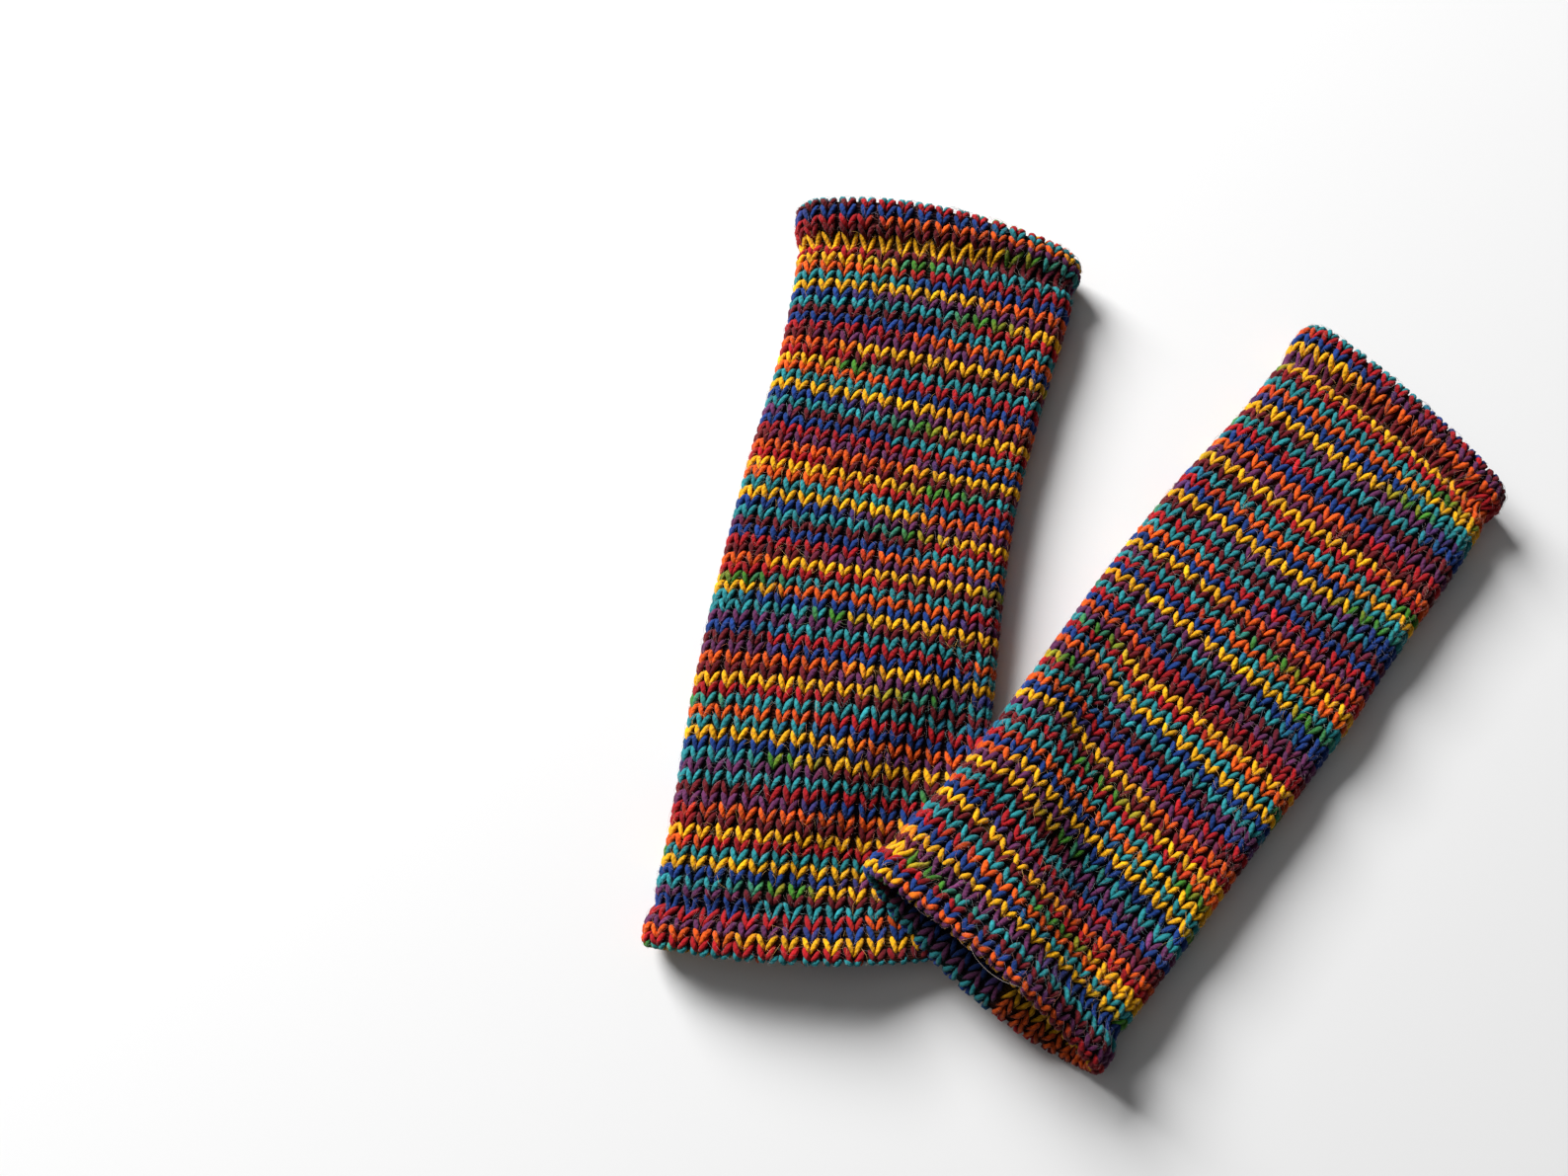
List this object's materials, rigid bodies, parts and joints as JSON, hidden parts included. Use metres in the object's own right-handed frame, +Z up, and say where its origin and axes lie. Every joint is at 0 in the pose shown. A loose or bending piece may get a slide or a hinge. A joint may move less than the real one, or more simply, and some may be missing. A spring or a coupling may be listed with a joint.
{
  "type": "pair of knitted arm warmers",
  "caption": "Fingerless knitted wool arm warmers in many-coloured variegated yarn, laid flat, one resting on the corner of the other",
  "frame": {"origin": "middle of the pair's outline, on the surface that it lies on", "axes": "+Z up from the surface, +Y towards the upper ends, +X to the right as seen from above"},
  "size_m": [0.2357, 0.2404, 0.0321],
  "materials": {
    "wool_body": "matt knitted wool",
    "wool_hem": "matt knitted wool, doubled"
  },
  "bodies": {
    "root": {"left_upper_face": "wool_body", "left_under_inner": "wool_body", "left_under_outer": "wool_body", "left_upper_hem": "wool_hem", "left_lower_hem": "wool_hem", "right_upper_face": "wool_body", "right_under_inner": "wool_body", "right_under_outer": "wool_body", "right_upper_hem": "wool_hem", "right_lower_hem": "wool_hem"}
  },
  "joints": []
}
